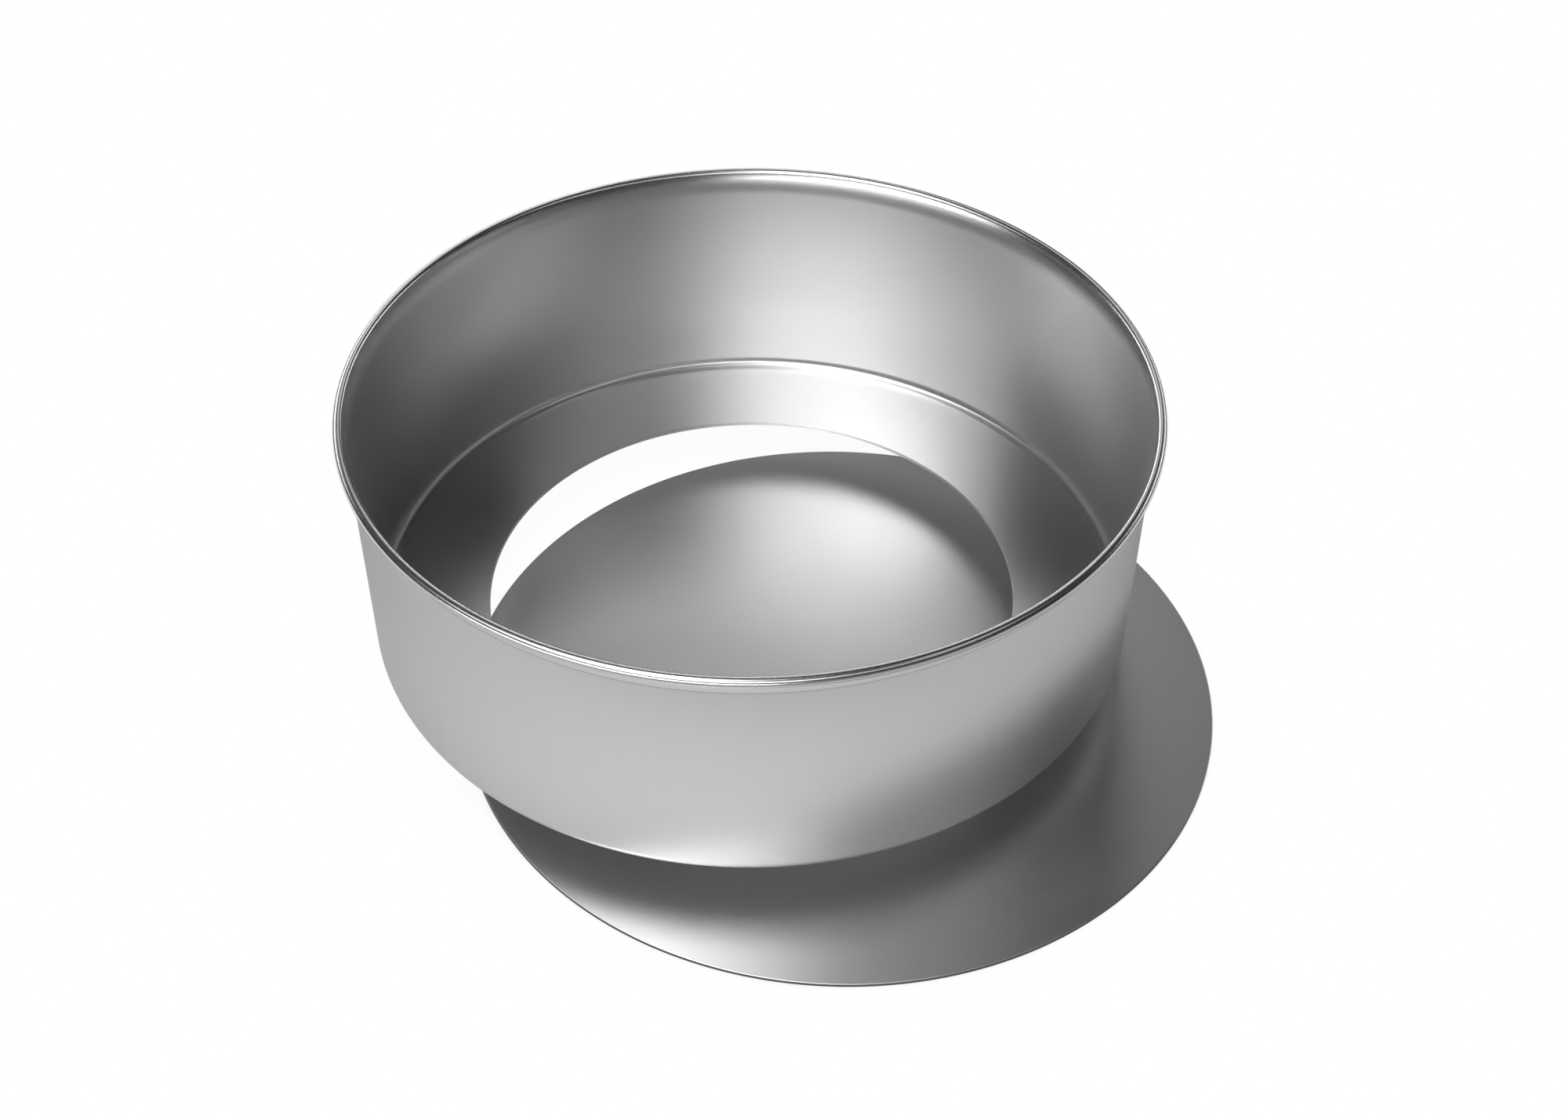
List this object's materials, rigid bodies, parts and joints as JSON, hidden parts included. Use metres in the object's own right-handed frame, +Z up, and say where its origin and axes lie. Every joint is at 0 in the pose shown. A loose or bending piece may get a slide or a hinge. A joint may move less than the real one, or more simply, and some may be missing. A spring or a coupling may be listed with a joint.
{
  "type": "loose-bottom cake pan",
  "caption": "Deep round cake pan with a rolled rim, an inward ledge round a large opening, and a loose flat base disc lying under the shell, which is held just above it.",
  "frame": {"origin": "on the shell's axis, in the plane of the disc's underside, which is the plane that the disc lies on", "axes": "+Z up along the shell's axis, +Y to the back, +X to the right; the disc lies off centre towards +X and -Y"},
  "size_m": [0.2579, 0.2616, 0.0914],
  "materials": {
    "disc_aluminium": "satin anodised rolled sheet with a fine straight grain",
    "shell_aluminium": "satin anodised drawn sheet, a little glossier on the rolled rim"
  },
  "bodies": {
    "base": {"base_disc": "disc_aluminium"},
    "shell": {"pan_shell": "shell_aluminium"}
  },
  "joints": [
    {"name": "shell_lift", "type": "slide", "parent": "base", "child": "shell", "axis": [0, 0, 1], "range_m": [0, 0.12]}
  ]
}
